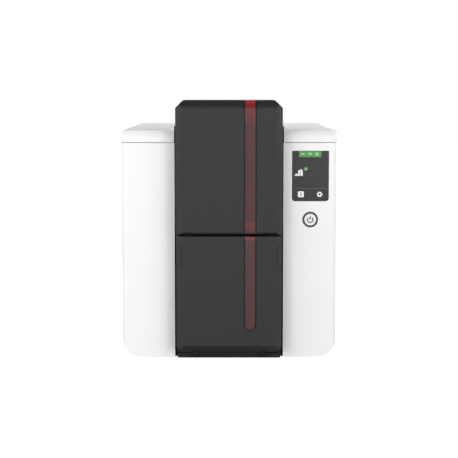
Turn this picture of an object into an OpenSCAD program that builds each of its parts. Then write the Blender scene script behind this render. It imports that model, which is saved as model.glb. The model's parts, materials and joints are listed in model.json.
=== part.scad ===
// ID card printer: white casing with a hinged lid, dark card feeder and output hopper in front.
// X runs to the right, Y to the back, Z up. The origin is on the table, under the middle.

/* [Overall] */
// Width over the white casing
body_w = 205; // [170:1:250]
// Depth from the door faces to the back
body_d = 381; // [315:1:460]
// Height from the table to the top of the feeder
body_h = 247; // [205:1:298]
// Height of the feet
foot_h = 2; // [1.5:0.5:6]

/* [Casing] */
// Wall of the casing mouldings
wall = 2.4; // [1.8:0.1:3.2]
// Radius of the two long lower corners
lower_r = 17; // [8:1:22]
// Radius of the upright front corners
front_r = 6; // [3:0.5:10]
// Radius of the upright back corners
back_r = 9; // [3:0.5:14]
// How far the feeder top stands above the lid
feeder_rise = 28.5; // [20:0.5:40]
// How far the dark doors stand in front of the white casing
band_proud = 24; // [16:1:30]
// Depth of the separate rear cover
rear_depth = 58; // [50:1:70]
// Distance of the lid's hinge from the back
hinge_back = 44; // [38:1:56]
// Radius along the rear cover's top edge
rear_r = 5; // [2:0.5:6]
// Width of each white lower corner strip inside the bottom tray's edge
strip_w = 18; // [15:1:24]

/* [Lid] */
// Height of the lid's edge, and radius of its hinge barrel
lid_h = 11.2; // [9:0.1:13]
// Gap between the lid and the casing
lid_gap = 0.5; // [0.4:0.1:1.2]
// Radius of the lid's side edges
lid_edge_r = 2.5; // [1:0.5:4]
// Height of the collar beside the feeder
collar_h = 3.5; // [2:0.5:5]
// Width of the collar
collar_w = 6; // [4:0.5:9]
// Width of each hinge ear
ear_w = 8; // [6:0.5:12]
// Distance of the hinge ears from the middle
ear_x = 62; // [50:1:72]
// Radius of the lid's hinge pins
lid_pin_r = 2.5; // [2:0.1:3]

/* [Doors] */
// Width of the dark doors
door_w = 100.4; // [92:0.5:110]
// Gap between a door and the white cheek
door_side_gap = 1.4; // [0.8:0.1:2]
// Bevel along the doors' upright edges
door_bevel = 5.8; // [4:0.2:8]
// Bevel across the top of the feeder door
top_bevel = 6.5; // [4:0.5:8]
// Radius between the feeder door's front and its top bevel
top_r = 8; // [4:0.5:12]
// Cut of the feeder's upper corners
top_cut = 7.2; // [4:0.2:10]
// Door wall
door_wall = 2.6; // [2.2:0.1:3.2]
// Depth of the feeder door
feeder_door_d = 14; // [11:0.5:18]
// Depth of the output door
output_door_d = 18; // [14:0.5:20]
// Lower edge of the feeder door
feeder_door_z = 123.8; // [115:0.1:132]
// Gap between the two doors
door_gap = 3.85; // [3.4:0.05:5]
// Lower edge of the output door
output_door_z = 9.3; // [8.5:0.1:14]
// Step from each side of the feeder door in to the output door
output_inset = 0.6; // [0:0.1:1.5]
// Bevel under the output door
under_bevel = 7.2; // [5:0.2:9]
// Radius of the output door's lower corners
under_r = 8; // [4:0.5:9]
// Radius of the door hinge knuckles
knuckle_r = 2.9; // [2.6:0.1:3.4]
// Radius of the door hinge pins
door_pin_r = 1.4; // [1.2:0.1:1.6]
// Height of the finger grips
finger_h = 20; // [15:1:30]
// Depth of the groove round each finger grip
finger_d = 1.8; // [0.8:0.1:2]
// Width of that groove
finger_w = 0.9; // [0.6:0.1:1.2]

/* [Level window] */
// Distance of the window strip from the middle
strip_x = 19.8; // [10:0.2:22]
// Width of the red strip
window_w = 9.7; // [7:0.1:10.5]
// Width of its groove
groove_w = 11.8; // [11:0.2:13]
// Depth of its groove
groove_d = 1.6; // [1.2:0.1:1.8]
// Height of the strip's rounded lower end
window_end_z = 30.5; // [25:0.5:45]

/* [Display] */
// Distance of the display from the middle
display_x = 77.2; // [74:0.2:79]
// Middle height of the display
display_z = 175.3; // [165:0.1:180]
// Width of the display
display_w = 35; // [30:0.5:38]
// Height of the display
display_h = 47.9; // [40:0.1:52]
// Height of the power button
button_z = 133.9; // [120:0.1:140]
// Outer radius of the button's ring
ring_r = 7.5; // [6:0.1:9]
// Width of the button's ring
ring_w = 1.7; // [1.2:0.1:2.4]
// Travel of the power button
button_travel = 1; // [0.6:0.1:1.6]

/* [Cards] */
// Width of a card
card_w = 54; // [50:0.5:58]
// Length of a card
card_l = 85.6; // [80:0.2:88]
// Height of the card path
path_z = 130.4; // [126:0.2:134]
// Clearance round the cards
card_clear = 2; // [1:0.2:3]

/* [Mechanism] */
// Thickness of the steel side plates
plate_t = 1.5; // [1:0.1:2]
// Outer distance of the side plates from the middle
plate_x = 47.5; // [46:0.5:49]
// Radius of the transport rollers
roller_r = 9; // [8:0.2:9.6]
// Radius of the roller shafts
shaft_r = 3; // [2.5:0.1:3.5]
// Running clearance of shafts and pins
run_clear = 0.06; // [0.03:0.01:0.1]
// Outer radius of the bushes
bush_r = 5.2; // [4.8:0.1:6]
// Radius of the belt pulleys
pulley_r = 11; // [9:0.5:12]
// Thickness of the drive belt
belt_t = 1.4; // [1:0.1:2]
// Width of the drive belt
belt_w = 6; // [5:0.5:8]
// Teeth of the take-up gear
gear_teeth = 32; // [28:1:36]
// Teeth of the ribbon motor's pinion
pinion_teeth = 12; // [10:1:14]
// Pitch of the gears, as their module
gear_module = 1; // [0.8:0.05:1.1]

/* [Hidden] */
$fn = 64;
hw = body_w / 2;
y_face = -body_d / 2;
y_case = y_face + band_proud;
y_back = body_d / 2;
y_split = y_back - rear_depth;
z0 = foot_h;
z_lid = body_h - feeder_rise;
lid_z = z_lid - lid_h;
case_top = lid_z - lid_gap;
hinge_y = y_back - hinge_back;
rear_top = z_lid - 1;
tray_y1 = y_back - 18;
barrel_clear = 0.6;
brow_r = lid_h * sqrt(2);
dw = door_w / 2;
cheek_x = dw + door_side_gap;
housing_y0 = y_face + feeder_door_d + 0.4;
hopper_y0 = y_face + output_door_d + 0.4;
bay_x = card_w / 2 + card_clear / 2;
bay_y0 = y_face + feeder_door_d - 3;
bay_y1 = bay_y0 + card_l + card_clear;
housing_y1 = bay_y1 + 3;
block_gap = 0.5;
output_door_top = feeder_door_z - door_gap;
fd_axis = [y_face + 3.9, feeder_door_z + 0.6];
fd_lug_r = 2.4;
fd_lug_x = dw - 16.8;
fd_lug_w = 9.8;
fd_pin_end = dw - 4.6;
lug_play = 0.45;
finger_in = 1.5;
finger_sink = 0.4;
finger_z = output_door_top - finger_h - 9.6;
output_hw = dw - output_inset;
strip_in = 0.25;
run_in = 0.02;
head_half = 36;
spool_half = 34;
od_axis = [y_face + 10.5, output_door_z + 2];
hopper_top = 104;
bay_top = body_h - 8;
sill_top = z0 + 4.7;
lug_x = 28.8;
lug_w = 5.4;
bevel_k = tan(22.5);
axis_z = path_z - roller_r;
feed_y = bay_y1 - 20;
clean_y = housing_y1 + 28;
platen_y = clean_y + 58;
exit_y = platen_y + 56;
motor_y = clean_y + 38;
motor_z = 72;
belt_x = -62;
plate_y0 = housing_y1 + 2;
plate_y1 = exit_y + 60;
plate_top = 188;
takeup_y = platen_y - 48;
supply_y = platen_y + 50;
spool_z = path_z + 31;
gear_x = plate_x + 3;
gear_w = 5;
gear_dist = gear_module * (gear_teeth + pinion_teeth) / 2;
mesh_angle = 50;
pinion_y = takeup_y + gear_dist * cos(mesh_angle);
pinion_z = spool_z - gear_dist * sin(mesh_angle);
tray_top = z0 + wall;
board_z = z0 + 10;
deck_z = case_top - 12;
slider_x = [9, 17];
slider_run = [1.5, 7.5];
slider_proud = 2.2;
screw_x = hw - 20;
screw_zs = [26, 172];
screw_r = 1.95;

white = "#f1f1f0";
dark = "#414141";
black = "#262626";
steel = "#b8bcc0";
red = "#a8322f";

// ---- drawing helpers: an outline carried along one axis

module along_y(y0, y1) translate([0, y1, 0]) rotate([90, 0, 0]) linear_extrude(y1 - y0) children();
module along_x(x0, x1) translate([x0, 0, 0]) rotate([90, 0, 90]) linear_extrude(x1 - x0) children();
module along_z(z0, z1) translate([0, 0, z0]) linear_extrude(z1 - z0) children();
module box(a, b) translate(a) cube(b - a);
module rod_x(x0, x1, r, y, z) translate([x0, y, z]) rotate([0, 90, 0]) cylinder(h = x1 - x0, r = r);
module rod_y(y0, y1, r, x, z) translate([x, y1, z]) rotate([90, 0, 0]) cylinder(h = y1 - y0, r = r);
module both() {
    children();
    mirror([1, 0, 0]) children();
}

// A rectangle from corner a to corner b, with one radius for each corner:
// lower left, lower right, upper right, upper left
module round_rect(a, b, r) {
    corners = [a, [b.x, a.y], b, [a.x, b.y]];
    inward = [[1, 1], [-1, 1], [-1, -1], [1, -1]];
    difference() {
        translate(a) square(b - a);
        for (i = [0:3]) if (r[i] > 0) translate(corners[i]) facing(inward[i]) difference() {
            translate([-1, -1]) square(r[i] + 1);
            translate([r[i], r[i]]) circle(r = r[i]);
        }
    }
}
module facing(s) mirror([s.x < 0 ? 1 : 0, 0]) mirror([0, s.y < 0 ? 1 : 0]) children();

// A slot outline between two points
module slot2d(a, b, w) {
    d = norm(b - a);
    translate(a) rotate(atan2(b.y - a.y, b.x - a.x)) {
        translate([0, -w / 2]) square([d, w]);
        circle(r = w / 2);
        translate([d, 0]) circle(r = w / 2);
    }
}

// ---- casing

// The white casing's block up to a height, t inside its outer faces
module case_block(t, top, edge_r = 0) intersection() {
    along_y(y_case + t, y_back - t) round_rect([-hw + t, z0 + t], [hw - t, top - t],
        [lower_r - t, lower_r - t, edge_r - t, edge_r - t]);
    along_z(z0 - 1, top + 1) round_rect([-hw + t, y_case + t], [hw - t, y_back - t],
        [front_r - t, front_r - t, back_r - t, back_r - t]);
}

// The room that the lid's barrel takes, and the room behind it where the open lid stands
module barrel_room() {
    rod_x(-hw - 1, hw + 1, lid_h + barrel_clear, hinge_y, lid_z);
    box([-hw - 1, y_split - 1, case_top], [hw + 1, hinge_y, rear_top + 1]);
    box([-hw - 1, hinge_y - 1, lid_z], [hw + 1, hinge_y + lid_h + barrel_clear, rear_top + 1]);
}

// The right-hand cover; the left one is its mirror image
module side_cover() difference() {
    union() {
        difference() {
            intersection() {
                case_block(0, case_top + 5);
                box([cheek_x, y_case, z0], [hw, y_split, case_top]);
            }
            intersection() {
                case_block(wall, case_top + 5);
                union() {
                    box([cheek_x + wall, y_case, z0], [hw, y_split + 1, case_top + 1]);
                    box([cheek_x - 1, housing_y1, z0], [hw, y_split + 1, case_top + 1]);
                }
            }
            box([0, y_case + wall, z0 - 1], [hw - strip_w, y_split + 1, tray_top + 0.2]);
            box([0, housing_y1, z0 - 1], [hw - strip_w, y_split + 1, z0 + 60]);
        }
        // stiffening ribs up the side, which also carry the deck
        for (y = [y_case + 60, y_split - 152, y_split - 72, y_split - 3])
            box([hw - wall - 4, y, z0 + lower_r], [hw - wall + 0.5, y + 1.6, deck_z]);
    }
}

module left_side_cover() color(white) difference() {
    mirror([1, 0, 0]) side_cover();
    rod_x(-cheek_x - wall - 1, -cheek_x + 1, shaft_r + 1.5, feed_y, axis_z);
}

module right_side_cover() color(white) difference() {
    side_cover();
    along_y(y_case - 1, y_case + wall + 1) round_rect([display_x - display_w / 2, display_z - display_h / 2],
        [display_x + display_w / 2, display_z + display_h / 2], [3, 3, 0.8, 0.8]);
    rod_y(y_case - 1, y_case + wall + 1, ring_r, display_x, button_z);
}

module rear_cover() color(white) difference() {
    union() {
        difference() {
            intersection() {
                case_block(0, rear_top, lid_edge_r);
                box([-hw, y_split, z0], [hw, y_back, rear_top]);
            }
            // hollow under the lid's barrel, and inside the raised part behind it
            intersection() {
                case_block(wall, rear_top, lid_edge_r);
                union() {
                    box([-hw, y_split - 1, z0], [hw, y_back, lid_z - lid_h - barrel_clear - wall]);
                    box([-hw, hinge_y + lid_h + barrel_clear + wall, z0], [hw, y_back, rear_top]);
                }
            }
            box([-hw + strip_w, y_split - 1, z0 - 1], [hw - strip_w, tray_y1 + 6, tray_top + 0.2]);
            barrel_room();
            difference() {
                box([-hw - 1, y_back - rear_r, rear_top - rear_r], [hw + 1, y_back + 1, rear_top + 1]);
                rod_x(-hw - 2, hw + 2, rear_r, y_back - rear_r, rear_top - rear_r);
            }
        }
        // hinge ears standing in the barrel's notches
        both() along_x(ear_x, ear_x + ear_w) union() {
            translate([hinge_y, lid_z]) circle(r = lid_h - 0.5);
            translate([hinge_y - 6, lid_z - lid_h - barrel_clear - wall]) square([12, lid_h + 1]);
        }
        // screw bosses
        for (x = [-1, 1], z = screw_zs) rod_y(y_back - wall - 9, y_back - wall + 0.5, 4.5, x * screw_x, z);
    }
    both() rod_x(ear_x - 1, ear_x + ear_w + 1, lid_pin_r + run_clear, hinge_y, lid_z);
    // sockets
    along_y(y_back - wall - 1, y_back + 1) {
        translate([-24, board_z + 8]) circle(r = 4.6);
        translate([-7, board_z + 1.4]) square([14, 13]);
        translate([18, board_z + 1.4]) square([18, 15]);
        round_rect([60, 60], [67.2, 63.2], [1.5, 1.5, 1.5, 1.5]);
        // cooling slots
        for (i = [-5:5]) slot2d([i * 7, 132], [i * 7, 160], 3);
    }
    for (x = [-1, 1], z = screw_zs) {
        rod_y(y_back - wall - 10, y_back + 1, screw_r + 0.05, x * screw_x, z);
        rod_y(y_back - 1.8, y_back + 1, 3.6, x * screw_x, z);
    }
}

module bottom_tray() color(black) difference() {
    union() {
        box([-hw + strip_w + 0.2, y_case + wall + 0.3, z0], [hw - strip_w - 0.2, tray_y1 + 5.6, tray_top]);
        // the sill under the output door, with its hinge lugs
        along_z(z0, sill_top) round_rect([-dw + 1.1, hopper_y0 - 0.4], [dw - 1.1, y_case + 10], [3, 3, 0, 0]);
        both() along_x(lug_x, lug_x + lug_w) union() {
            translate(od_axis) circle(r = knuckle_r - 0.2);
            polygon([[od_axis.x + 0.5, od_axis.y + knuckle_r - 0.2], [hopper_y0 + 3.6, od_axis.y - 1],
                [hopper_y0 + 3.6, z0 + 1], [hopper_y0 - 0.4, z0 + 1], [od_axis.x - 1, od_axis.y - knuckle_r + 0.3]]);
        }
        // edge walls and ribs
        difference() {
            box([-hw + strip_w + 0.2, y_case + wall + 12, z0], [hw - strip_w - 0.2, tray_y1 - 0.2, z0 + 9]);
            box([-hw + strip_w + 2.2, y_case + wall + 14, z0], [hw - strip_w - 2.2, tray_y1 - 2.2, z0 + 10]);
            box([-cheek_x - wall - 0.3, y_case, z0], [cheek_x + wall + 0.3, housing_y1, z0 + 10]);
            // gaps that pass the side plates
            both() box([plate_x - 12.6, plate_y0, tray_top], [plate_x + 0.6, tray_y1 + 1, z0 + 10]);
        }
        for (x = [-26, 26], y = [tray_y1 - 95, tray_y1 - 20]) translate([x, y, z0]) cylinder(h = board_z - z0, r = 3.5);
    }
    for (x = [-1, 1], y = [y_case + 22, tray_y1 - 22]) translate([x * (hw - 33), y, z0 - 1]) cylinder(h = 9, r = 3.05);
    both() rod_x(lug_x - 8, lug_x + lug_w + 1, door_pin_r + 0.02, od_axis.x, od_axis.y);
    // intake slots
    for (i = [-4:4]) along_z(z0 - 1, tray_top + 1) slot2d([i * 9, -40], [i * 9, 0], 3.5);
}

module rubber_feet() color("#1d1d1d") for (x = [-1, 1], y = [y_case + 22, tray_y1 - 22])
    translate([x * (hw - 33), y, 0]) {
        rotate_extrude() polygon([[0, 0], [8, 0], [9, 1], [9, z0], [3, z0], [3, tray_top], [3.6, tray_top + 0.6],
            [2.4, tray_top + 3], [0, tray_top + 3]]);
    }

module inner_deck() color("#d9d9d8") difference() {
    box([-hw + wall + 0.3, housing_y1 + 1, deck_z], [hw - wall - 0.3, hinge_y - lid_h - 3, deck_z + 2]);
    box([-plate_x + 2, housing_y1 + 9, case_top - 20], [plate_x - 2, plate_y1 - 6, case_top]);
    for (x = [-1, 1]) along_z(case_top - 20, case_top) slot2d([x * 76, -60], [x * 76, 120], 14);
}

// ---- card feeder and output hopper

module feeder_outline(t) polygon([[-dw + t, hopper_top + 0.4 + t], [dw - t, hopper_top + 0.4 + t],
    [dw - t, body_h - top_cut - t * bevel_k], [dw - top_cut - t * bevel_k, body_h - t],
    [-dw + top_cut + t * bevel_k, body_h - t], [-dw + t, body_h - top_cut - t * bevel_k]]);

module feeder_housing() color(dark) difference() {
    union() {
        intersection() {
            along_y(housing_y0, housing_y1) feeder_outline(0);
            along_x(-dw, dw) polygon([[hopper_y0, hopper_top], [housing_y1, hopper_top],
                [housing_y1, body_h - top_bevel], [housing_y1 - top_bevel, body_h], [housing_y0, body_h],
                [housing_y0, output_door_top + 1.2], [hopper_y0, output_door_top + 1.2]]);
        }
        // hinge lugs of the feeder door
        both() along_x(fd_lug_x, fd_lug_x + fd_lug_w) union() {
            translate(fd_axis) circle(r = fd_lug_r);
            polygon([[fd_axis.x, fd_axis.y - fd_lug_r], [fd_axis.x + 3.5, output_door_top - 0.7],
                [housing_y0 + 1, output_door_top - 0.7], [housing_y0 + 1, fd_axis.y + 0.5],
                [fd_axis.x + 1.5, fd_axis.y + 1.2]]);
        }
        // the bay's floor reaches into the door
        box([-bay_x - 2.4, bay_y0 - 1, path_z - 4.4], [bay_x + 2.4, housing_y0 + 1, path_z - 0.4]);
    }
    // card bay, open to the door
    box([-bay_x, bay_y0 - 2, path_z - 0.4], [bay_x, bay_y1, bay_top]);
    // the way out for a card, at the back
    box([-bay_x, bay_y1 - 1, path_z - 0.4], [bay_x, housing_y1 + 1, path_z + 2.2]);
    // hollow sides, open below
    both() box([bay_x + 2.4, hopper_y0 + 2.4, hopper_top], [dw - 2.4, housing_y1 - 2.4, bay_top]);
    box([-bay_x - 3, hopper_y0 + 2.4, hopper_top], [bay_x + 3, housing_y1 - 2.4, path_z - 4.4]);
    // feed roller window
    box([-13, feed_y - roller_r - 1, path_z - 5], [13, feed_y + roller_r + 1, path_z]);
    both() rod_x(dw - 3, dw + 1, bush_r, feed_y, axis_z);
    both() rod_x(fd_lug_x - 1, fd_lug_x + fd_lug_w + 1, door_pin_r + run_clear, fd_axis.x, fd_axis.y);
    // guide slot of the thickness slider
    box([slider_x[0] + 1 - slider_run[0] - 0.5, bay_y1 - 1, path_z + 5],
        [slider_x[1] - 1 + slider_run[1] + 0.5, housing_y1 + 1, path_z + 8]);
}

// Loose plate that presses the card stack onto the feed roller
module card_weight() color(black) difference() {
    union() {
        along_z(path_z + 0.4, path_z + 3.4) round_rect([-bay_x + 0.6, bay_y0 + 1], [bay_x - 0.6, bay_y1 - 0.5],
            [4, 4, 2, 2]);
        // finger tab at the front edge
        along_x(-9, 9) polygon([[bay_y0 + 1, path_z + 3], [bay_y0 + 3.5, path_z + 3], [bay_y0 + 3.5, path_z + 14],
            [bay_y0 + 1, path_z + 16]]);
    }
    along_z(path_z, path_z + 4) slot2d([-10, bay_y0 + 30], [-10, bay_y1 - 22], 6);
    along_z(path_z, path_z + 4) slot2d([10, bay_y0 + 30], [10, bay_y1 - 22], 6);
    // notch that passes the thickness slider, wherever that stands
    box([slider_x[0] - slider_run[0] - 0.8, bay_y1 - slider_proud - 0.8, path_z],
        [slider_x[1] + slider_run[1] + 0.8, bay_y1, path_z + 4]);
}

module thickness_slider() color("#6f7478") {
    box([slider_x[0], bay_y1 - slider_proud, path_z + 9], [slider_x[1], bay_y1 - 0.3, path_z + 15]);
    box([slider_x[0] + 1, bay_y1 - 1.2, path_z + 5.4], [slider_x[1] - 1, housing_y1 - 0.2, path_z + 7.6]);
    box([slider_x[0] + 1, bay_y1 - 1.2, path_z + 7.6], [slider_x[1] - 1, bay_y1 - 0.3, path_z + 9]);
}

module output_hopper() color(black) difference() {
    union() {
        box([-dw, hopper_y0, sill_top], [dw, housing_y1, hopper_top]);
        // rounded guide lips at the mouth
        both() rod_y(hopper_y0 - 3, hopper_y0 + 1, 3, bay_x + 4.5, 40);
    }
    difference() {
        box([-bay_x, hopper_y0 - 4, sill_top + 2], [bay_x, housing_y1 - 3, hopper_top + 1]);
        // the floor slopes down to the front
        along_x(-bay_x - 1, bay_x + 1) polygon([[hopper_y0 - 1, sill_top + 1], [housing_y1, sill_top + 1],
            [housing_y1, sill_top + 18], [hopper_y0 + 2, sill_top + 2.4]]);
    }
    both() box([bay_x + 2.4, hopper_y0 + 2.4, sill_top + 5], [dw - 2.4, housing_y1 + 1, hopper_top + 1]);
    // room for the door's hinge lugs
    both() box([lug_x - 0.5, hopper_y0 - 1, sill_top - 1], [dw + 1, hopper_y0 + 4, od_axis.y + knuckle_r]);
    box([-bay_x - 1, housing_y1 - 4, hopper_top - 24], [bay_x + 1, housing_y1 + 1, hopper_top + 1]);
}

// ---- doors

// The feeder door seen from the side, t inside its faces. The round between the front and the top
// bevel keeps one centre at every t. The lower and back ends stand out by over.
module feeder_side(t, over = 0) {
    c = [y_face + top_r, body_h - top_bevel - top_r * bevel_k];
    reach = top_r + 4;
    difference() {
        polygon([[y_face + feeder_door_d + over, feeder_door_z - over], [y_face + t, feeder_door_z - over],
            [y_face + t, body_h - top_bevel - t * bevel_k], [y_face + top_bevel + t * bevel_k, body_h - t],
            [y_face + feeder_door_d + over, body_h - t]]);
        difference() {
            polygon([c, c + [-reach, 0], c + [-reach, reach], c + [-reach, reach] * sqrt(0.5)]);
            translate(c) circle(r = top_r - t);
        }
    }
}

// One door's solid, t inside its faces: the outlines seen from the front, from above and from the side
module feeder_door_block(t) intersection() {
    along_y(y_face + t, y_face + feeder_door_d) polygon([[-dw + t, feeder_door_z + t], [dw - t, feeder_door_z + t],
        [dw - t, body_h - top_cut - t * bevel_k], [dw - top_cut - t * bevel_k, body_h - t],
        [-dw + top_cut + t * bevel_k, body_h - t], [-dw + t, body_h - top_cut - t * bevel_k]]);
    along_z(0, body_h) polygon(bevel_plan(dw, feeder_door_d, t));
    along_x(-dw, dw) feeder_side(t);
}
function bevel_plan(w, d, t) = [[-w + t, y_face + d], [-w + t, y_face + door_bevel + t * bevel_k],
    [-w + door_bevel + t * bevel_k, y_face + t], [w - door_bevel - t * bevel_k, y_face + t],
    [w - t, y_face + door_bevel + t * bevel_k], [w - t, y_face + d]];

module feeder_door() color(dark) difference() {
    union() {
        difference() {
            feeder_door_block(0);
            intersection() {
                feeder_door_block(door_wall);
                box([-dw, y_face, feeder_door_z], [dw, y_face + feeder_door_d + 1, body_h]);
            }
            box([-dw + door_wall, y_face + feeder_door_d - 3, feeder_door_z + door_wall + 1],
                [dw - door_wall, y_face + feeder_door_d + 1, body_h - door_wall - 6]);
        }
        // knuckle along the lower edge, within the side bevels
        intersection() {
            rod_x(-dw, dw, knuckle_r, fd_axis.x, fd_axis.y);
            along_z(fd_axis.y - knuckle_r - 1, fd_axis.y + knuckle_r + 1) polygon(bevel_plan(dw, feeder_door_d, 0.4));
        }
    }
    // groove of the red strip, over the front, the bevel and the top
    along_x(strip_x - groove_w / 2, strip_x + groove_w / 2) difference() {
        translate([y_face - 1, feeder_door_z - 1]) square([feeder_door_d + 2, body_h - feeder_door_z + 2]);
        feeder_side(groove_d, 3);
    }
    along_y(y_face - 1, y_face + door_wall + 2) slot2d([strip_x, feeder_door_z + 12], [strip_x, body_h - 16], 7);
    // room for the housing's hinge lugs, behind the door's front
    both() {
        rod_x(fd_lug_x - 0.5, fd_lug_x + fd_lug_w + 0.5, fd_lug_r + lug_play, fd_axis.x, fd_axis.y);
        box([fd_lug_x - 0.5, fd_axis.x - fd_lug_r - lug_play, feeder_door_z - 4],
            [fd_lug_x + fd_lug_w + 0.5, y_face + feeder_door_d + 1, fd_axis.y]);
        box([fd_lug_x - 0.5, fd_axis.x, feeder_door_z - 1],
            [fd_lug_x + fd_lug_w + 0.5, y_face + feeder_door_d + 1, fd_axis.y + 6]);
    }
    // the bay's floor stands inside the door
    box([-bay_x - 3, bay_y0 - 2.6, feeder_door_z - 1], [bay_x + 3, y_face + feeder_door_d + 1, path_z + 1]);
    both() rod_x(fd_lug_x - 9, fd_pin_end + 0.2, door_pin_r + 0.02, fd_axis.x, fd_axis.y);
}

module feeder_window() color(red) along_x(strip_x - window_w / 2, strip_x + window_w / 2) difference() {
    feeder_side(strip_in);
    feeder_side(groove_d, 3);
}

module output_door_block(t) intersection() {
    along_y(y_face + t, y_face + output_door_d + 1) round_rect([-output_hw + t, output_door_z + t],
        [output_hw - t, output_door_top - t], [under_r - t, under_r - t, 0.6, 0.6]);
    along_z(0, body_h) polygon(bevel_plan(output_hw, output_door_d, t));
    along_x(-dw, dw) polygon([[y_face + output_door_d, output_door_z + t], [y_face + under_bevel + t * bevel_k,
        output_door_z + t], [y_face + t, output_door_z + under_bevel + t * bevel_k], [y_face + t, output_door_top - t],
        [y_face + output_door_d, output_door_top - t]]);
}

module output_door() color(dark) difference() {
    union() {
        difference() {
            output_door_block(0);
            output_door_block(door_wall);
            box([-output_hw + door_wall, y_face + output_door_d - 4, output_door_z + door_wall],
                [output_hw - door_wall, y_face + output_door_d + 1, output_door_top - door_wall]);
        }
        rod_x(-lug_x + 0.5, lug_x - 0.5, knuckle_r, od_axis.x, od_axis.y);
    }
    box([strip_x - groove_w / 2, y_face - 1, window_end_z + groove_w / 2],
        [strip_x + groove_w / 2, y_face + groove_d, output_door_top + 1]);
    rod_y(y_face - 1, y_face + groove_d, groove_w / 2, strip_x, window_end_z + groove_w / 2);
    along_y(y_face - 1, y_face + door_wall + 2) slot2d([strip_x, window_end_z + groove_w / 2],
        [strip_x, output_door_top - 10], 7);
    // room for the sill's hinge lugs
    both() {
        rod_x(lug_x - 0.5, lug_x + lug_w + 0.5, knuckle_r + 0.6, od_axis.x, od_axis.y);
        box([lug_x - 0.5, od_axis.x - 5, z0], [lug_x + lug_w + 0.5, y_face + output_door_d + 1, od_axis.y]);
        box([lug_x - 0.5, od_axis.x, z0], [lug_x + lug_w + 0.5, y_face + output_door_d + 1, od_axis.y + 4]);
    }
    rod_x(-dw - 1, dw + 1, door_pin_r + run_clear, od_axis.x, od_axis.y);
    // room for the feeder door's hinge lugs, behind a front skin
    both() box([fd_lug_x - 0.6, y_face + door_wall + 1.6, output_door_top - 1.2],
        [fd_lug_x + fd_lug_w + 0.6, y_face + output_door_d + 1, output_door_top + 1]);
    // finger grips: a groove round three sides of a pad in each side bevel
    both() translate([output_hw - door_bevel, y_face, 0]) rotate([0, 0, 45]) {
        box([finger_in, -3, finger_z], [finger_in + finger_w, finger_d, finger_z + finger_h]);
        for (z = [finger_z, finger_z + finger_h - finger_w])
            box([finger_in, -3, z], [door_bevel * sqrt(2) + 3, finger_d, z + finger_w]);
        box([finger_in, -3, finger_z], [door_bevel * sqrt(2) + 3, finger_sink, finger_z + finger_h]);
    }
}

module output_window() color(red) {
    box([strip_x - window_w / 2, y_face + strip_in, window_end_z + groove_w / 2],
        [strip_x + window_w / 2, y_face + groove_d, output_door_top]);
    intersection() {
        rod_y(y_face + strip_in, y_face + groove_d, window_w / 2, strip_x, window_end_z + groove_w / 2);
        box([0, y_face, 0], [dw, y_face + 5, window_end_z + groove_w / 2]);
    }
}

module feeder_hinge_pins() color(steel) both()
    rod_x(fd_lug_x - 7.6, fd_pin_end, door_pin_r, fd_axis.x, fd_axis.y);
module output_hinge_pins() color(steel) both() rod_x(lug_x - 7, lug_x + lug_w - 0.2, door_pin_r, od_axis.x, od_axis.y);

// ---- lid

module lid_profile(t) intersection() {
    union() {
        translate([y_case + t, lid_z - 1]) square([hinge_y - y_case - t, lid_h + 1 - t]);
        translate([hinge_y, lid_z]) circle(r = lid_h - t);
    }
    union() {
        translate([y_case + brow_r, lid_z]) circle(r = brow_r - t);
        translate([y_case + brow_r, lid_z - 20]) square([body_d, 60]);
        translate([y_case + t, lid_z - 1]) square([brow_r, 1.01]);
    }
}
module lid_plan(t) difference() {
    round_rect([-hw + t, y_case + t], [hw - t, y_back + 1 - t], [front_r - t, front_r - t, 0, 0]);
    translate([-cheek_x - block_gap - t, y_case - 1]) square([2 * (cheek_x + block_gap + t),
        housing_y1 + block_gap + t - y_case + 1]);
}
module lid_block(t) intersection() {
    along_x(-hw, hw) lid_profile(t);
    along_y(y_case - 1, y_back + 1) round_rect([-hw + t, lid_z - 20], [hw - t, z_lid - t],
        [0, 0, lid_edge_r, lid_edge_r]);
    along_z(lid_z - 20, z_lid + 1) lid_plan(t);
}
module collar() {
    x_in = cheek_x + block_gap;
    y_in = housing_y1 + block_gap;
    y_brow = y_case + brow_r * (1 - cos(45));
    difference() {
        intersection() {
            along_y(y_brow, y_in + collar_w) polygon([[-x_in - collar_w, z_lid - wall], [x_in + collar_w, z_lid - wall],
                [x_in + collar_w, z_lid], [x_in + 0.8, z_lid + collar_h], [-x_in - 0.8, z_lid + collar_h],
                [-x_in - collar_w, z_lid]]);
            along_x(-x_in - collar_w, x_in + collar_w) polygon([[y_brow, z_lid - wall], [y_in + collar_w, z_lid - wall],
                [y_in + collar_w, z_lid], [y_in + 0.8, z_lid + collar_h], [y_brow, z_lid + collar_h]]);
        }
        box([-x_in, y_case, z_lid - 5], [x_in, y_in, z_lid + 10]);
    }
}
module lid_shell() color(white) difference() {
    union() {
        difference() {
            lid_block(0);
            box([-hw - 1, y_case - 1, lid_z - 5], [hw + 1, hinge_y - lid_h, lid_z]);
            intersection() {
                lid_block(wall);
                box([-hw, y_case, lid_z - 5], [hw, hinge_y - lid_h - 1, z_lid]);
            }
            both() rod_x(6, ear_x - 2.5, lid_h - wall, hinge_y, lid_z);
            both() rod_x(ear_x + ear_w + 2.5, hw - wall, lid_h - wall, hinge_y, lid_z);
        }
        collar();
    }
    // notches for the hinge ears, and the pin bores
    both() rod_x(ear_x - 0.4, ear_x + ear_w + 0.4, lid_h + 0.2, hinge_y, lid_z);
    both() rod_x(ear_x - 4, ear_x + ear_w + 4, lid_pin_r + 0.02, hinge_y, lid_z);
}
module lid_hinge_pins() color(steel) both() rod_x(ear_x - 3.5, ear_x + ear_w + 3.5, lid_pin_r, hinge_y, lid_z);

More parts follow.
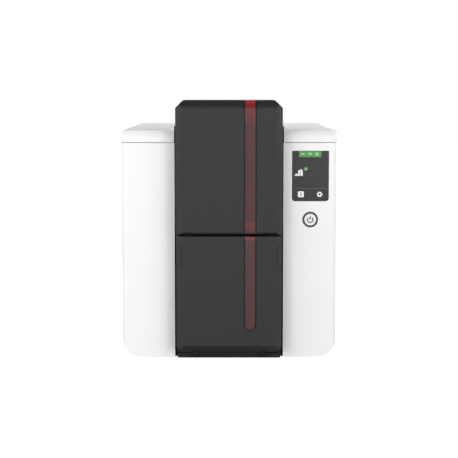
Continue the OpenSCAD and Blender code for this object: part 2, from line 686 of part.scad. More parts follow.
// Grey pan under the lid that carries the print head
liner_y0 = housing_y1 + block_gap + wall + 3;
liner_y1 = hinge_y - lid_h - 6;
module lid_liner() color("#c9cacb") {
    difference() {
        along_z(lid_z - 4, lid_z + 2) round_rect([-hw + wall + 6, liner_y0], [hw - wall - 6, liner_y1], [4, 4, 4, 4]);
        along_z(lid_z - 2, lid_z + 3) round_rect([-hw + wall + 8, liner_y0 + 2], [hw - wall - 8, liner_y1 - 2],
            [3, 3, 3, 3]);
    }
    // posts up to the lid
    for (x = [-70, 70], y = [liner_y0 + 14, liner_y1 - 20]) translate([x, y, lid_z - 2.5])
        cylinder(h = lid_h - wall + 2.5, r = 4);
}

bracket_top = lid_z - 4;
bracket_low = path_z + 26;
module head_bracket() color(steel) {
    box([-head_half, platen_y - 14, bracket_top - plate_t], [head_half, platen_y + 14, bracket_top]);
    both() difference() {
        box([head_half - plate_t, platen_y - 14, bracket_low - 8], [head_half, platen_y + 14, bracket_top]);
        rod_x(head_half - 4, head_half + 4, 5, platen_y, bracket_top - 18);
    }
    box([-head_half, platen_y - 14, bracket_low], [head_half, platen_y + 14, bracket_low + plate_t]);
}
sink_top = bracket_low - 9;
module heat_sink() color("#8f9498") {
    box([-head_half + 3, platen_y - 12, path_z + 5], [head_half - 3, platen_y + 12, path_z + 8]);
    for (i = [0:7]) box([-head_half + 3, platen_y - 12 + i * 3.2, path_z + 7], [head_half - 3, platen_y - 12 + i * 3.2
        + 1.4, sink_top - 3]);
}
module print_head() color("#6b4c35") {
    along_x(-head_half + 6, head_half - 6) polygon([[platen_y - 10, path_z + 5], [platen_y + 10, path_z + 5],
        [platen_y + 10, path_z + 3.4], [platen_y + 2.5, path_z + 1], [platen_y - 2.5, path_z + 1],
        [platen_y - 10, path_z + 3.4]]);
}
module head_springs() color(steel) both() translate([20, platen_y - 0.1, sink_top - 3]) {
    difference() {
        cylinder(h = bracket_low - sink_top + 3, r = 4);
        translate([0, 0, -1]) cylinder(h = 30, r = 3);
    }
}

// ---- inner frame

module plate_outline() difference() {
    polygon([[plate_y0, tray_top], [plate_y1, tray_top], [plate_y1, plate_top - 45], [plate_y1 - 30, plate_top],
        [plate_y0 + 6, plate_top], [plate_y0, plate_top - 6]]);
    slot2d([exit_y + 26, 60], [exit_y + 26, 100], 22);
    translate([clean_y + 5, 40]) circle(r = 14);
}
module side_plate() {
    difference() {
        union() {
            along_x(plate_x - plate_t, plate_x) plate_outline();
            box([plate_x - 12, plate_y0 + 8, tray_top], [plate_x, plate_y1 - 8, tray_top + plate_t]);
        }
        for (y = [clean_y, platen_y, exit_y]) rod_x(plate_x - 3, plate_x + 1, bush_r, y, axis_z);
        for (y = [takeup_y, supply_y]) {
            rod_x(plate_x - 3, plate_x + 1, shaft_r + 1, y, spool_z);
        }
        for (b = bar_places) rod_x(plate_x - 3, plate_x + 1, 2.5, b.x, b.y);
    }
}
bar_places = [[plate_y0 + 10, 60], [plate_y1 - 14, 40], [plate_y1 - 14, 120], [plate_y0 + 14, plate_top - 14]];
module left_side_plate() color(steel) mirror([1, 0, 0]) difference() {
    side_plate();
    rod_x(plate_x - 3, plate_x + 1, 7, motor_y, motor_z);
}
module right_side_plate() color(steel) {
    side_plate();
    // bracket of the ribbon motor, on two posts
    difference() {
        box([gear_x + gear_w + 2, pinion_y - 16, pinion_z - 16], [gear_x + gear_w + 3.5, pinion_y + 16, pinion_z + 16]);
        rod_x(gear_x + gear_w + 1, gear_x + gear_w + 5, 5, pinion_y, pinion_z);
    }
    for (s = [-1, 1]) rod_x(plate_x, gear_x + gear_w + 2, 2.5, pinion_y + 13, pinion_z + s * 12);
}
module cross_bars() color("#9da2a6") for (b = bar_places) {
    rod_x(-plate_x + plate_t, plate_x - plate_t, 4, b.x, b.y);
    both() rod_x(plate_x - plate_t - 0.5, plate_x + 2, 2.45, b.x, b.y);
}
module shaft_bushes() color("#b89a4a") {
    for (y = [clean_y, platen_y, exit_y]) both() bush(plate_x - plate_t, plate_x + 1, y);
    both() bush(dw - 2.4, dw + 0.6, feed_y);
}
module bush(x0, x1, y) difference() {
    union() {
        rod_x(x0, x1, bush_r - 0.02, y, axis_z);
        rod_x(x0 - 1.2, x0, bush_r + 1, y, axis_z);
    }
    rod_x(x0 - 2, x1 + 1, shaft_r + run_clear, y, axis_z);
}
module card_guide() color(black) difference() {
    union() {
        box([-plate_x + plate_t, plate_y0 + 2, path_z - 4], [plate_x - plate_t, plate_y1 - 24, path_z - 0.8]);
        both() box([bay_x + 0.6, plate_y0 + 2, path_z - 1], [bay_x + 2.6, platen_y - 16, path_z + 3]);
        both() box([bay_x + 0.6, platen_y + 16, path_z - 1], [bay_x + 2.6, plate_y1 - 24, path_z + 3]);
        for (i = [-3:3]) box([i * 8 - 0.8, plate_y0 + 2, path_z - 8], [i * 8 + 0.8, clean_y - 12, path_z - 3]);
    }
    for (y = [clean_y, platen_y, exit_y]) {
        box([-33, y - roller_r - 0.8, path_z - 9], [33, y + roller_r + 0.8, path_z + 1]);
        rod_x(-plate_x, plate_x, bush_r + 1.4, y, axis_z);
    }
}

// ---- drive

// The belt's runs lie a hair inside the pulleys' tangents, so that they meet the round ends cleanly
module belt_loop(r) {
    pts = [[feed_y, axis_z], [motor_y, motor_z], [exit_y, axis_z]];
    for (p = pts) translate(p) circle(r = r);
    polygon([for (i = [0:2]) let (a = pts[i], b = pts[(i + 1) % 3], u = (b - a) / norm(b - a), n = [u.y, -u.x])
        each [a + (r - run_in) * n, b + (r - run_in) * n]]);
}
module drive_belt() color("#1b1b1b") along_x(belt_x - belt_w / 2, belt_x + belt_w / 2) difference() {
    belt_loop(pulley_r + 0.3 + belt_t);
    belt_loop(pulley_r + 0.3);
}
module pulley(y, z) difference() {
    union() {
        rod_x(belt_x - belt_w / 2 - 0.4, belt_x + belt_w / 2 + 0.4, pulley_r, y, z);
        for (s = [-1, 1]) rod_x(belt_x + s * (belt_w / 2 + 1) - 0.6, belt_x + s * (belt_w / 2 + 1) + 0.6,
            pulley_r + 1.2, y, z);
    }
    for (i = [0:4]) rotate_about(y, z, i * 72) rod_x(belt_x - 6, belt_x + 6, 1.8, y + 6.6, z);
}
module rotate_about(y, z, a) translate([0, y, z]) rotate([a, 0, 0]) translate([0, -y, -z]) children();

// A roller on its shaft, with the belt pulley on the left end. Its rubber has grooves at the given places.
module roller(y, half, r, hue, grooves = []) {
    color(hue) difference() {
        rod_x(-half, half, r, y, axis_z);
        rod_x(-half - 1, half + 1, shaft_r, y, axis_z);
        for (x = grooves) difference() {
            rod_x(x - 0.8, x + 0.8, r + 1, y, axis_z);
            rod_x(x - 1, x + 1, r - 1.2, y, axis_z);
        }
    }
    color(steel) rod_x(belt_x - 7, plate_x + 3, shaft_r, y, axis_z);
    // retaining ring outside the right-hand bush
    if (y > plate_y0) color(steel) rod_x(plate_x + 1.3, plate_x + 2.2, shaft_r + 1.4, y, axis_z);
    color("#d8d8d8") difference() {
        pulley(y, axis_z);
        rod_x(belt_x - 6, belt_x + 6, shaft_r, y, axis_z);
    }
}
module feed_roller() roller(feed_y, 11, roller_r, "#3a3a3a", [-6.6, -2.2, 2.2, 6.6]);
module cleaning_roller() roller(clean_y, 28, roller_r, "#5f7f93");
module platen_roller() roller(platen_y, 30, roller_r, "#2b2b2b");
module exit_roller() roller(exit_y, 26, roller_r, "#3a3a3a", [-18, -9, 9, 18]);

module main_motor() color("#a9adb0") {
    // square mounting flange, can with its two rims, end cap and the shaft's rear end
    along_x(-plate_x + plate_t + 0.01, -plate_x + plate_t + 2.5)
        round_rect([motor_y - 21, motor_z - 21], [motor_y + 21, motor_z + 21], [5, 5, 5, 5]);
    rod_x(-plate_x + plate_t + 2, -plate_x + plate_t + 38, 19, motor_y, motor_z);
    for (x = [4, 34]) rod_x(-plate_x + plate_t + x, -plate_x + plate_t + x + 2.5, 20, motor_y, motor_z);
    rod_x(-plate_x + plate_t + 37, -plate_x + plate_t + 41, 8, motor_y, motor_z);
    rod_x(-plate_x + plate_t + 40, -plate_x + plate_t + 44, 2.5, motor_y, motor_z);
    for (a = [45:90:315]) rotate_about(motor_y, motor_z, a)
        rod_x(-plate_x + plate_t + 2, -plate_x + plate_t + 4, 2.6, motor_y + 23.6, motor_z);
    rod_x(-plate_x - 1, -plate_x + plate_t + 1, 6.9, motor_y, motor_z);
}
module motor_pulley() {
    color("#d8d8d8") difference() {
        pulley(motor_y, motor_z);
        rod_x(belt_x - 6, belt_x + 6, shaft_r, motor_y, motor_z);
    }
    color(steel) rod_x(belt_x - 7, -plate_x - 1.4, shaft_r, motor_y, motor_z);
}

// Involute gear outline: each flank follows the involute of the base circle
function inv_pt(rb, t) = rb * [cos(t) + t * PI / 180 * sin(t), sin(t) - t * PI / 180 * cos(t)];
function turn(p, a) = [p.x * cos(a) - p.y * sin(a), p.x * sin(a) + p.y * cos(a)];
function inv_angle(rb, r) = sqrt(pow(r / rb, 2) - 1) * 180 / PI;
module gear2d(n, m, slack) {
    r = n * m / 2;
    rb = r * cos(20);
    ra = r + 0.8 * m;
    rf = r - 1.05 * m;
    t_p = inv_angle(rb, r);
    half = 90 / n - slack / r * 180 / PI / 2 + (t_p - atan(t_p * PI / 180));
    t_a = inv_angle(rb, ra);
    steps = 4;
    flank = [for (i = [0:steps]) turn(inv_pt(rb, t_a * i / steps), -half)];
    back = [for (i = [steps:-1:0]) [flank[i].x, -flank[i].y]];
    root = [rf * cos(half + 1), -rf * sin(half + 1)];
    tooth = concat([root], rb > rf ? flank : [for (p = flank) if (norm(p) > rf) p],
        rb > rf ? back : [for (p = back) if (norm(p) > rf) p], [[root.x, -root.y]]);
    polygon([for (k = [0:n - 1]) for (p = tooth) turn(p, k * 360 / n)]);
}
module take_up_gear() color("#e6e1d2") difference() {
    along_x(gear_x, gear_x + gear_w) translate([takeup_y, spool_z])
        rotate(-mesh_angle) gear2d(gear_teeth, gear_module, 0.15);
    rod_x(gear_x - 1, gear_x + gear_w + 1, shaft_r + 0.02, takeup_y, spool_z);
    for (i = [0:4]) rotate_about(takeup_y, spool_z, i * 72) rod_x(gear_x - 1, gear_x + gear_w + 1, 2.6, takeup_y + 9,
        spool_z);
}
module ribbon_pinion() {
    color("#c8a24a") along_x(gear_x, gear_x + gear_w) translate([pinion_y, pinion_z])
        rotate(180 - mesh_angle + 180 / pinion_teeth) gear2d(pinion_teeth, gear_module, 0.15);
    color(steel) rod_x(gear_x + gear_w - 0.5, gear_x + gear_w + 3.4, 1.5, pinion_y, pinion_z);
}
module ribbon_motor() color("#a9adb0") {
    rod_x(gear_x + gear_w + 3.5, gear_x + gear_w + 7, 4.5, pinion_y, pinion_z);
    rod_x(gear_x + gear_w + 3.5 + 1.2, gear_x + gear_w + 30, 13, pinion_y, pinion_z);
}

// ---- ribbon

module spool(y, r_film, hue) {
    color("#dcdcda") {
        for (s = [-1, 1]) rod_x(s * spool_half - 1, s * spool_half + 1, 14.5, y, spool_z);
        rod_x(-plate_x + plate_t + 1.5, plate_x + 2.4, shaft_r, y, spool_z);
    }
    color(hue) difference() {
        rod_x(-spool_half + 1, spool_half - 1, r_film, y, spool_z);
        rod_x(-spool_half, spool_half, shaft_r, y, spool_z);
    }
}
module take_up_spool() {
    spool(takeup_y, 7, "#7d4a6a");
    color(steel) rod_x(plate_x + 2, gear_x + gear_w + 0.5, shaft_r, takeup_y, spool_z);
}
module supply_spool() spool(supply_y, 12, "#c9a227");
module ribbon_cassette() color("#3c4a58") {
    both() difference() {
        along_x(spool_half + 4, spool_half + 6.5) round_rect([takeup_y - 17, spool_z - 15], [supply_y + 17, spool_z + 9],
            [9, 9, 6, 6]);
        for (y = [takeup_y, supply_y]) rod_x(spool_half, spool_half + 12, shaft_r + run_clear, y, spool_z);
        along_x(spool_half, spool_half + 12) round_rect([platen_y - 20, spool_z - 20], [platen_y + 20, spool_z + 2],
            [0, 0, 4, 4]);
    }
    for (y = [takeup_y - 16.2, supply_y + 16.2]) box([-spool_half - 5, y - 0.8, spool_z - 6], [spool_half + 5, y + 0.8,
        spool_z + 3]);
}

// ---- electronics and small pieces

module main_board() color("#1f6b45") {
    box([-32, tray_y1 - 105, board_z], [42, tray_y1 + 4, board_z + 1.6]);
    color("#2c2c2c") for (p = [[-18, -80, 14, 14, 2], [6, -70, 20, 20, 2.5], [-22, -40, 10, 16, 8], [20, -30, 12, 8, 6],
        [28, -96, 9, 5, 1.6], [28, -84, 9, 5, 1.6], [-28, -98, 24, 4, 7], [4, -100, 16, 4, 7]])
        box([p[0], tray_y1 + p[1], board_z + 1.59], [p[0] + p[2], tray_y1 + p[1] + p[3], board_z + 1.6 + p[4]]);
    // cooling fins on the large chip
    color("#8f9498") {
        box([7.5, tray_y1 - 68.5, board_z + 4], [24.5, tray_y1 - 51.5, board_z + 5.5]);
        for (i = [0:5]) box([7.5, tray_y1 - 68.5 + i * 3.1, board_z + 5.4], [24.5, tray_y1 - 67 + i * 3.1, board_z + 12]);
    }
    // capacitors
    color("#3b3f44") for (c = [[-25, -62], [-25, -52], [33, -60], [33, -48], [33, -20]])
        translate([c.x, tray_y1 + c.y, board_z + 1.59]) cylinder(h = 9, r = 3.6);
}
module power_inlet() color("#202020") difference() {
    union() {
        box([-29, tray_y1 - 8, board_z + 1.6], [-19, y_back - wall, board_z + 13]);
        rod_y(y_back - wall - 1, y_back - 0.4, 4.5, -24, board_z + 8);
    }
    rod_y(y_back - wall - 9, y_back, 3, -24, board_z + 8);
}
module usb_port() color("#c9ccce") difference() {
    box([-6.8, tray_y1 - 8, board_z + 1.6], [6.8, y_back - 0.6, board_z + 14]);
    box([-4.2, y_back - 10, board_z + 3.6], [4.2, y_back, board_z + 12]);
}
module network_port() color("#b9bdc0") difference() {
    box([18.2, tray_y1 - 8, board_z + 1.6], [35.8, y_back - 0.6, board_z + 16.2]);
    box([21, y_back - 12, board_z + 4], [33, y_back, board_z + 12.5]);
    box([24.5, y_back - 12, board_z + 12], [29.5, y_back, board_z + 14.5]);
}
module display_window() color("#444444") along_y(y_case - 0.1, y_case + wall + 0.2)
    round_rect([display_x - display_w / 2 + 0.15, display_z - display_h / 2 + 0.15],
        [display_x + display_w / 2 - 0.15, display_z + display_h / 2 - 0.15], [2.85, 2.85, 0.65, 0.65]);
module control_board() {
    color("#1f6b45") box([display_x - 19, y_case + 8, button_z - 12], [display_x + 19, y_case + 9.6, display_z + 26]);
    color("#2c2c2c") box([display_x - 16, y_case + wall + 0.25, display_z - 22], [display_x + 16, y_case + 8,
        display_z + 22]);
    color("#2c2c2c") box([display_x - 3, y_case + 5.2, button_z - 3], [display_x + 3, y_case + 8, button_z + 3]);
}
module button_ring() color("#505050") difference() {
    union() {
        rod_y(y_case - 0.4, y_case + wall + 2, ring_r - 0.05, display_x, button_z);
        rod_y(y_case + wall, y_case + wall + 1.4, ring_r + 1.5, display_x, button_z);
    }
    rod_y(y_case - 1, y_case + wall + 3, ring_r - ring_w, display_x, button_z);
}
module power_button() color(white) {
    rod_y(y_case - 0.4, y_case + 1.6, ring_r - ring_w - 0.15, display_x, button_z);
    rod_y(y_case + 1.5, y_case + 5.2 - button_travel - 0.2, 1.6, display_x, button_z);
}
module case_screws() color("#8d9195") for (x = [-1, 1], z = screw_zs) difference() {
    union() {
        rod_y(y_back - wall - 8, y_back - 1, screw_r, x * screw_x, z);
        rod_y(y_back - 1.75, y_back - 0.3, 3.3, x * screw_x, z);
    }
    // cross recess
    for (c = [[1.9, 0.45], [0.45, 1.9]])
        box([x * screw_x - c.x, y_back - 1.3, z - c.y], [x * screw_x + c.x, y_back, z + c.y]);
}

bottom_tray();
rubber_feet();
left_side_cover();
right_side_cover();
rear_cover();
inner_deck();
feeder_housing();
output_hopper();
left_side_plate();
right_side_plate();
cross_bars();
card_guide();
shaft_bushes();
drive_belt();
main_motor();
ribbon_motor();
ribbon_cassette();
main_board();
power_inlet();
usb_port();
network_port();
display_window();
control_board();
button_ring();
case_screws();
output_hinge_pins();
lid_shell();
lid_liner();
lid_hinge_pins();
head_bracket();
heat_sink();
print_head();
head_springs();
feeder_door();
feeder_window();
feeder_hinge_pins();
output_door();
output_window();
power_button();
card_weight();
thickness_slider();
feed_roller();
cleaning_roller();
platen_roller();
exit_roller();
motor_pulley();
take_up_spool();
take_up_gear();
supply_spool();
ribbon_pinion();
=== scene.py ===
import bpy
import bmesh
import json
import math
import numpy as np
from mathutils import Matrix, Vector


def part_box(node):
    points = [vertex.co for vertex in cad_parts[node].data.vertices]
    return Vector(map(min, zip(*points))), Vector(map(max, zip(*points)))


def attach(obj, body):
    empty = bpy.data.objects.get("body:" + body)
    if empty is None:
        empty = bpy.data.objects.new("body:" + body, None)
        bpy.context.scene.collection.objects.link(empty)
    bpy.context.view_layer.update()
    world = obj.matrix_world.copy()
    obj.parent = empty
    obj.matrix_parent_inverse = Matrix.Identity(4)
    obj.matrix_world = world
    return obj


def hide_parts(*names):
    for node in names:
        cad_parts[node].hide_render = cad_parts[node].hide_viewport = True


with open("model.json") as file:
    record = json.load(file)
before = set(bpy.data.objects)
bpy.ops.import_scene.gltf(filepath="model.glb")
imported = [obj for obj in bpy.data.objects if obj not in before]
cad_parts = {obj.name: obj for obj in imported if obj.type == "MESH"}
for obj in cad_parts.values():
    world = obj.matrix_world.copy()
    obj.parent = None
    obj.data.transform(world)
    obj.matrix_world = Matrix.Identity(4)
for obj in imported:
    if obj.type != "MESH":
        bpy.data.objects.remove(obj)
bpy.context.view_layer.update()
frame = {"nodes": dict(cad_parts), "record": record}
nodes = frame["nodes"]
scene = bpy.context.scene
mm = 0.001


def boxMm(node):
    low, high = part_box(node)
    return np.array(low) / mm, np.array(high) / mm


view = {
    "eye": (0.0, -1.4915, 0.2548),   # in front of the doors, a little above the feeder's top
    "tilt": 84.4,                    # degrees from straight down, so it looks 5.6 degrees down
    "lens": 110.0,                   # mm
    "sensor": 36.0,
}


def makeCamera():
    data = bpy.data.cameras.new("photoCamera")
    data.lens = view["lens"]
    data.sensor_width = view["sensor"]
    camera = bpy.data.objects.new("photoCamera", data)
    camera.location = view["eye"]
    camera.rotation_euler = (math.radians(view["tilt"]), 0.0, 0.0)
    scene.collection.objects.link(camera)
    scene.camera = camera


makeCamera()
scene.view_settings.view_transform = "Standard"


def toLinear(hexColour):
    # sRGB hex to the linear values that shaders take
    channels = [int(hexColour[i:i + 2], 16) / 255 for i in (1, 3, 5)]
    return tuple(c / 12.92 if c <= 0.04045 else ((c + 0.055) / 1.055) ** 2.4 for c in channels) + (1.0,)


def addNode(tree, kind, settings=None, links=None):
    # settings fill sockets, by name or number, or else attributes; links join sockets to (node, output)
    # pairs. A colour Mix has its two colours in sockets 6 and 7 and gives its blend as output 2
    node = tree.nodes.new(kind)
    for key, value in (settings or {}).items():
        if isinstance(key, int) or key in node.inputs:
            node.inputs[key].default_value = value
        else:
            setattr(node, key, value)
    for key, (source, output) in (links or {}).items():
        tree.links.new(source.outputs[output], node.inputs[key])
    return node


studio = {
    "horizon": "#ffffff",       # the white room round the object
    "zenith": "#38383a",        # its ceiling is dark, so faces that look up at 45 degrees go dim
    "whiteUpTo": 0.58,          # sine of the height at which the white ends, 35 degrees above level
    "darkFrom": 0.80,           # and of the height at which the dark begins, 53 degrees
    "ambient": 0.25,            # how much of that room lights matt surfaces
    "floor": "#f6f6f6",
    "floorReach": 6.0,          # metres from the middle to each edge
    "floorBounce": "#6a6a6a",   # the floor as matt surfaces see it: little light comes up from below
    "floorGlow": 0.88,          # light added where the camera sees the floor, so that it shows white
    "lamps": {                  # place, size in metres, watts
        "keyLamp": ((-1.5, -2.2, 0.9), 1.6, 17.0),
        "lowLeftLamp": ((-1.0, -2.7, 0.35), 1.1, 18.0),    # either side of the camera, so that no
        "lowRightLamp": ((1.0, -2.7, 0.35), 1.1, 20.0),    # front face mirrors them
        "leftLamp": ((-2.4, -0.9, 0.7), 1.6, 23.0),
        "rightLamp": ((1.6, -2.0, 0.7), 1.6, 20.0),
        "rightSideLamp": ((2.5, 0.2, 0.8), 1.6, 18.0),
        "backLeftLamp": ((-2.0, 2.2, 0.7), 1.6, 28.0),     # clear of what the lid's top mirrors
        "backRightLamp": ((2.0, 2.2, 0.7), 1.6, 28.0),
        "topLamp": ((0.4, 1.6, 1.7), 1.6, 10.0),
    },
    "aim": (0.0, 0.0, 0.12),
}


def splitRays(tree):
    # 1 for rays that see a thing, straight, in a mirror or through a clear piece, and 0 for soft light
    rays = addNode(tree, "ShaderNodeLightPath")
    mirrored = addNode(tree, "ShaderNodeMath", {"operation": "MAXIMUM"},
                       {0: (rays, "Is Camera Ray"), 1: (rays, "Is Glossy Ray")})
    seen = addNode(tree, "ShaderNodeMath", {"operation": "MAXIMUM"},
                   {0: (mirrored, 0), 1: (rays, "Is Transmission Ray")})
    return rays, seen


def makeStudio():
    world = bpy.data.worlds.new("studio")
    scene.world = world
    world.use_nodes = True
    tree = world.node_tree
    tree.nodes.clear()
    place = addNode(tree, "ShaderNodeTexCoord")
    parts = addNode(tree, "ShaderNodeSeparateXYZ", links={"Vector": (place, "Generated")})
    ramp = addNode(tree, "ShaderNodeValToRGB", links={"Fac": (parts, "Z")})
    low, high = ramp.color_ramp.elements
    low.position, low.color = studio["whiteUpTo"], toLinear(studio["horizon"])
    high.position, high.color = studio["darkFrom"], toLinear(studio["zenith"])
    seen = splitRays(tree)[1]
    soft = addNode(tree, "ShaderNodeBackground", {"Strength": studio["ambient"]},
                   {"Color": (ramp, "Color")})
    room = addNode(tree, "ShaderNodeBackground", {"Strength": 1.0}, {"Color": (ramp, "Color")})
    mix = addNode(tree, "ShaderNodeMixShader", links={0: (seen, 0), 1: (soft, 0), 2: (room, 0)})
    addNode(tree, "ShaderNodeOutputWorld", links={"Surface": (mix, 0)})


def makeLamp(name, place, size, watts):
    data = bpy.data.lights.new(name, "AREA")
    data.shape = "DISK"
    data.size = size
    data.energy = watts
    lamp = bpy.data.objects.new(name, data)
    lamp.location = place
    lamp.rotation_euler = (Vector(studio["aim"]) - Vector(place)).to_track_quat("-Z", "Y").to_euler()
    scene.collection.objects.link(lamp)


def makeFloor():
    reach = studio["floorReach"]
    mesh = bpy.data.meshes.new("floor")
    mesh.from_pydata([(-reach, -reach, 0), (reach, -reach, 0), (reach, reach, 0), (-reach, reach, 0)],
                     [], [(0, 1, 2, 3)])
    floor = bpy.data.objects.new("floor", mesh)
    scene.collection.objects.link(floor)
    paint = bpy.data.materials.new("paleFloor")
    paint.use_nodes = True
    tree = paint.node_tree
    tree.nodes.clear()
    rays, seen = splitRays(tree)
    glow = addNode(tree, "ShaderNodeMapRange", {"To Max": studio["floorGlow"]},
                   {"Value": (rays, "Is Camera Ray")})
    dull = addNode(tree, "ShaderNodeBsdfDiffuse", {"Color": toLinear(studio["floorBounce"])})
    matt = addNode(tree, "ShaderNodeBsdfDiffuse", {"Color": toLinear(studio["floor"])})
    white = addNode(tree, "ShaderNodeEmission", {"Color": (1, 1, 1, 1)}, {"Strength": (glow, "Result")})
    bright = addNode(tree, "ShaderNodeAddShader", links={0: (matt, 0), 1: (white, 0)})
    mix = addNode(tree, "ShaderNodeMixShader", links={0: (seen, 0), 1: (dull, 0), 2: (bright, 0)})
    addNode(tree, "ShaderNodeOutputMaterial", links={"Surface": (mix, 0)})
    mesh.materials.append(paint)


makeStudio()
makeFloor()
for lampName, (lampPlace, lampSize, lampWatts) in studio["lamps"].items():
    makeLamp(lampName, lampPlace, lampSize, lampWatts)
print("studio ready")


def newSurface(name):
    surface = bpy.data.materials.new(name)
    surface.use_nodes = True
    surface.node_tree.nodes.clear()
    return surface, surface.node_tree, addNode(surface.node_tree, "ShaderNodeTexCoord")


def mouldedPlastic(name, colour, shade, rough, grainMm, grainDepth, shine=0.5, driftMm=111.0):
    # ABS moulded in a spark-eroded tool: a fine pebbled grain that breaks up the gloss,
    # with a slow drift in tone from the flow of the plastic
    surface, tree, place = newSurface(name)
    drift = addNode(tree, "ShaderNodeTexNoise", {"Scale": 1 / (driftMm * mm), "Detail": 2.0},
                    {"Vector": (place, "Object")})
    tone = addNode(tree, "ShaderNodeMix", {"data_type": "RGBA", 6: toLinear(colour), 7: toLinear(shade)},
                   {0: (drift, "Fac")})
    grain = addNode(tree, "ShaderNodeTexVoronoi", {"feature": "SMOOTH_F1", "Scale": 1 / (grainMm * mm)},
                    {"Vector": (place, "Object")})
    # the gloss varies over patches two and a half grains wide
    patches = addNode(tree, "ShaderNodeTexNoise", {"Scale": 1 / (grainMm * 2.5 * mm), "Detail": 3.0},
                      {"Vector": (place, "Object")})
    spread = addNode(tree, "ShaderNodeMapRange",
                     {"From Min": 0.3, "From Max": 0.7, "To Min": rough - 0.05, "To Max": rough + 0.06},
                     {"Value": (patches, "Fac")})
    bump = addNode(tree, "ShaderNodeBump", {"Strength": grainDepth, "Distance": 0.04 * mm},
                   {"Height": (grain, "Distance")})
    shader = addNode(tree, "ShaderNodeBsdfPrincipled", {"IOR": 1.5, "Specular IOR Level": shine},
                     {"Base Color": (tone, 2), "Roughness": (spread, "Result"), "Normal": (bump, "Normal")})
    addNode(tree, "ShaderNodeOutputMaterial", links={"Surface": (shader, 0)})
    return surface


def sheetSteel(name, colour, rough, lineMm=0.25, spangleMm=9.1):
    # rolled and zinc plated: faint lines along the rolling direction, fifty times as long as they are
    # wide, and cloudy spangle
    surface, tree, place = newSurface(name)
    stretch = addNode(tree, "ShaderNodeMapping", {"Scale": (1.0, 1 / 50, 1.0)},
                      {"Vector": (place, "Object")})
    lines = addNode(tree, "ShaderNodeTexNoise", {"Scale": 1 / (lineMm * mm), "Detail": 2.0},
                    {"Vector": (stretch, "Vector")})
    cloud = addNode(tree, "ShaderNodeTexVoronoi", {"Scale": 1 / (spangleMm * mm)},
                    {"Vector": (place, "Object")})
    grey = addNode(tree, "ShaderNodeSeparateXYZ", links={"Vector": (cloud, "Color")})
    tone = addNode(tree, "ShaderNodeMix",
                   {"data_type": "RGBA", 6: toLinear(colour), 7: toLinear("#8d9194")}, {0: (grey, "X")})
    spread = addNode(tree, "ShaderNodeMapRange", {"To Min": rough - 0.08, "To Max": rough + 0.1},
                     {"Value": (lines, "Fac")})
    bump = addNode(tree, "ShaderNodeBump", {"Strength": 0.15, "Distance": 0.03 * mm},
                   {"Height": (lines, "Fac")})
    shader = addNode(tree, "ShaderNodeBsdfPrincipled", {"Metallic": 1.0},
                     {"Base Color": (tone, 2), "Roughness": (spread, "Result"), "Normal": (bump, "Normal")})
    addNode(tree, "ShaderNodeOutputMaterial", links={"Surface": (shader, 0)})
    return surface


def turnedMetal(name, colour, shade, rough, markMm=0.12, coarser=8, filmMm=16.7):
    # ground or turned round X: fine rings across the length, drawn coarser so that they show, and a
    # thin uneven film of oil
    surface, tree, place = newSurface(name)
    rings = addNode(tree, "ShaderNodeTexWave",
                    {"Scale": 1 / (markMm * coarser * mm), "Distortion": 1.5, "bands_direction": "X"},
                    {"Vector": (place, "Object")})
    spread = addNode(tree, "ShaderNodeMapRange", {"To Min": rough - 0.06, "To Max": rough + 0.08},
                     {"Value": (rings, "Fac")})
    film = addNode(tree, "ShaderNodeTexNoise", {"Scale": 1 / (filmMm * mm)}, {"Vector": (place, "Object")})
    tone = addNode(tree, "ShaderNodeMix", {"data_type": "RGBA", 6: toLinear(colour), 7: toLinear(shade)},
                   {0: (film, "Fac")})
    shader = addNode(tree, "ShaderNodeBsdfPrincipled", {"Metallic": 1.0},
                     {"Base Color": (tone, 2), "Roughness": (spread, "Result")})
    addNode(tree, "ShaderNodeOutputMaterial", links={"Surface": (shader, 0)})
    return surface


def mattRubber(name, colour, shade, grainMm=0.5):
    # ground rubber: dull, with a fine even nap
    surface, tree, place = newSurface(name)
    nap = addNode(tree, "ShaderNodeTexNoise", {"Scale": 1 / (grainMm * mm), "Detail": 4.0},
                  {"Vector": (place, "Object")})
    tone = addNode(tree, "ShaderNodeMix", {"data_type": "RGBA", 6: toLinear(colour), 7: toLinear(shade)},
                   {0: (nap, "Fac")})
    bump = addNode(tree, "ShaderNodeBump", {"Strength": 0.35, "Distance": 0.06 * mm},
                   {"Height": (nap, "Fac")})
    shader = addNode(tree, "ShaderNodeBsdfPrincipled", {"Roughness": 0.78, "IOR": 1.52},
                     {"Base Color": (tone, 2), "Normal": (bump, "Normal")})
    addNode(tree, "ShaderNodeOutputMaterial", links={"Surface": (shader, 0)})
    return surface


# painted light and shade of the red strips: their tint at each height stands in for the light and shade
# behind them
paintedStripLight = {
    "overHopper": "#4b3030",    # painted shade: the tint of the lower strip, which has the dark hopper behind it
    "overCards": "#4c2627",     # painted shade of the upper strip, over the dark edges of the cards
    "lit": "#aa3339",           # painted light: the tint where all the light comes in from behind
    "lowerLight": {             # mm below the lower strip's top: share of painted light
        3.5: 0.0, 3.0: 0.4, 0.0: 0.35,           # painted light at its open upper edge
    },
    "upperLight": {             # mm above the upper strip's foot: share of painted light
        0.0: 0.25, 1.0: 0.05, 4.5: 0.05,         # painted light beside the gap between the doors
        5.0: 0.2, 9.5: 0.2, 10.0: 0.0,           # painted light off the edges of the lowest cards
        98.0: 0.0, 112.0: 0.2, 116.0: 0.25,      # painted light from above
        119.0: 0.5, 121.0: 1.0,                  # painted light at the top edge
    },
}


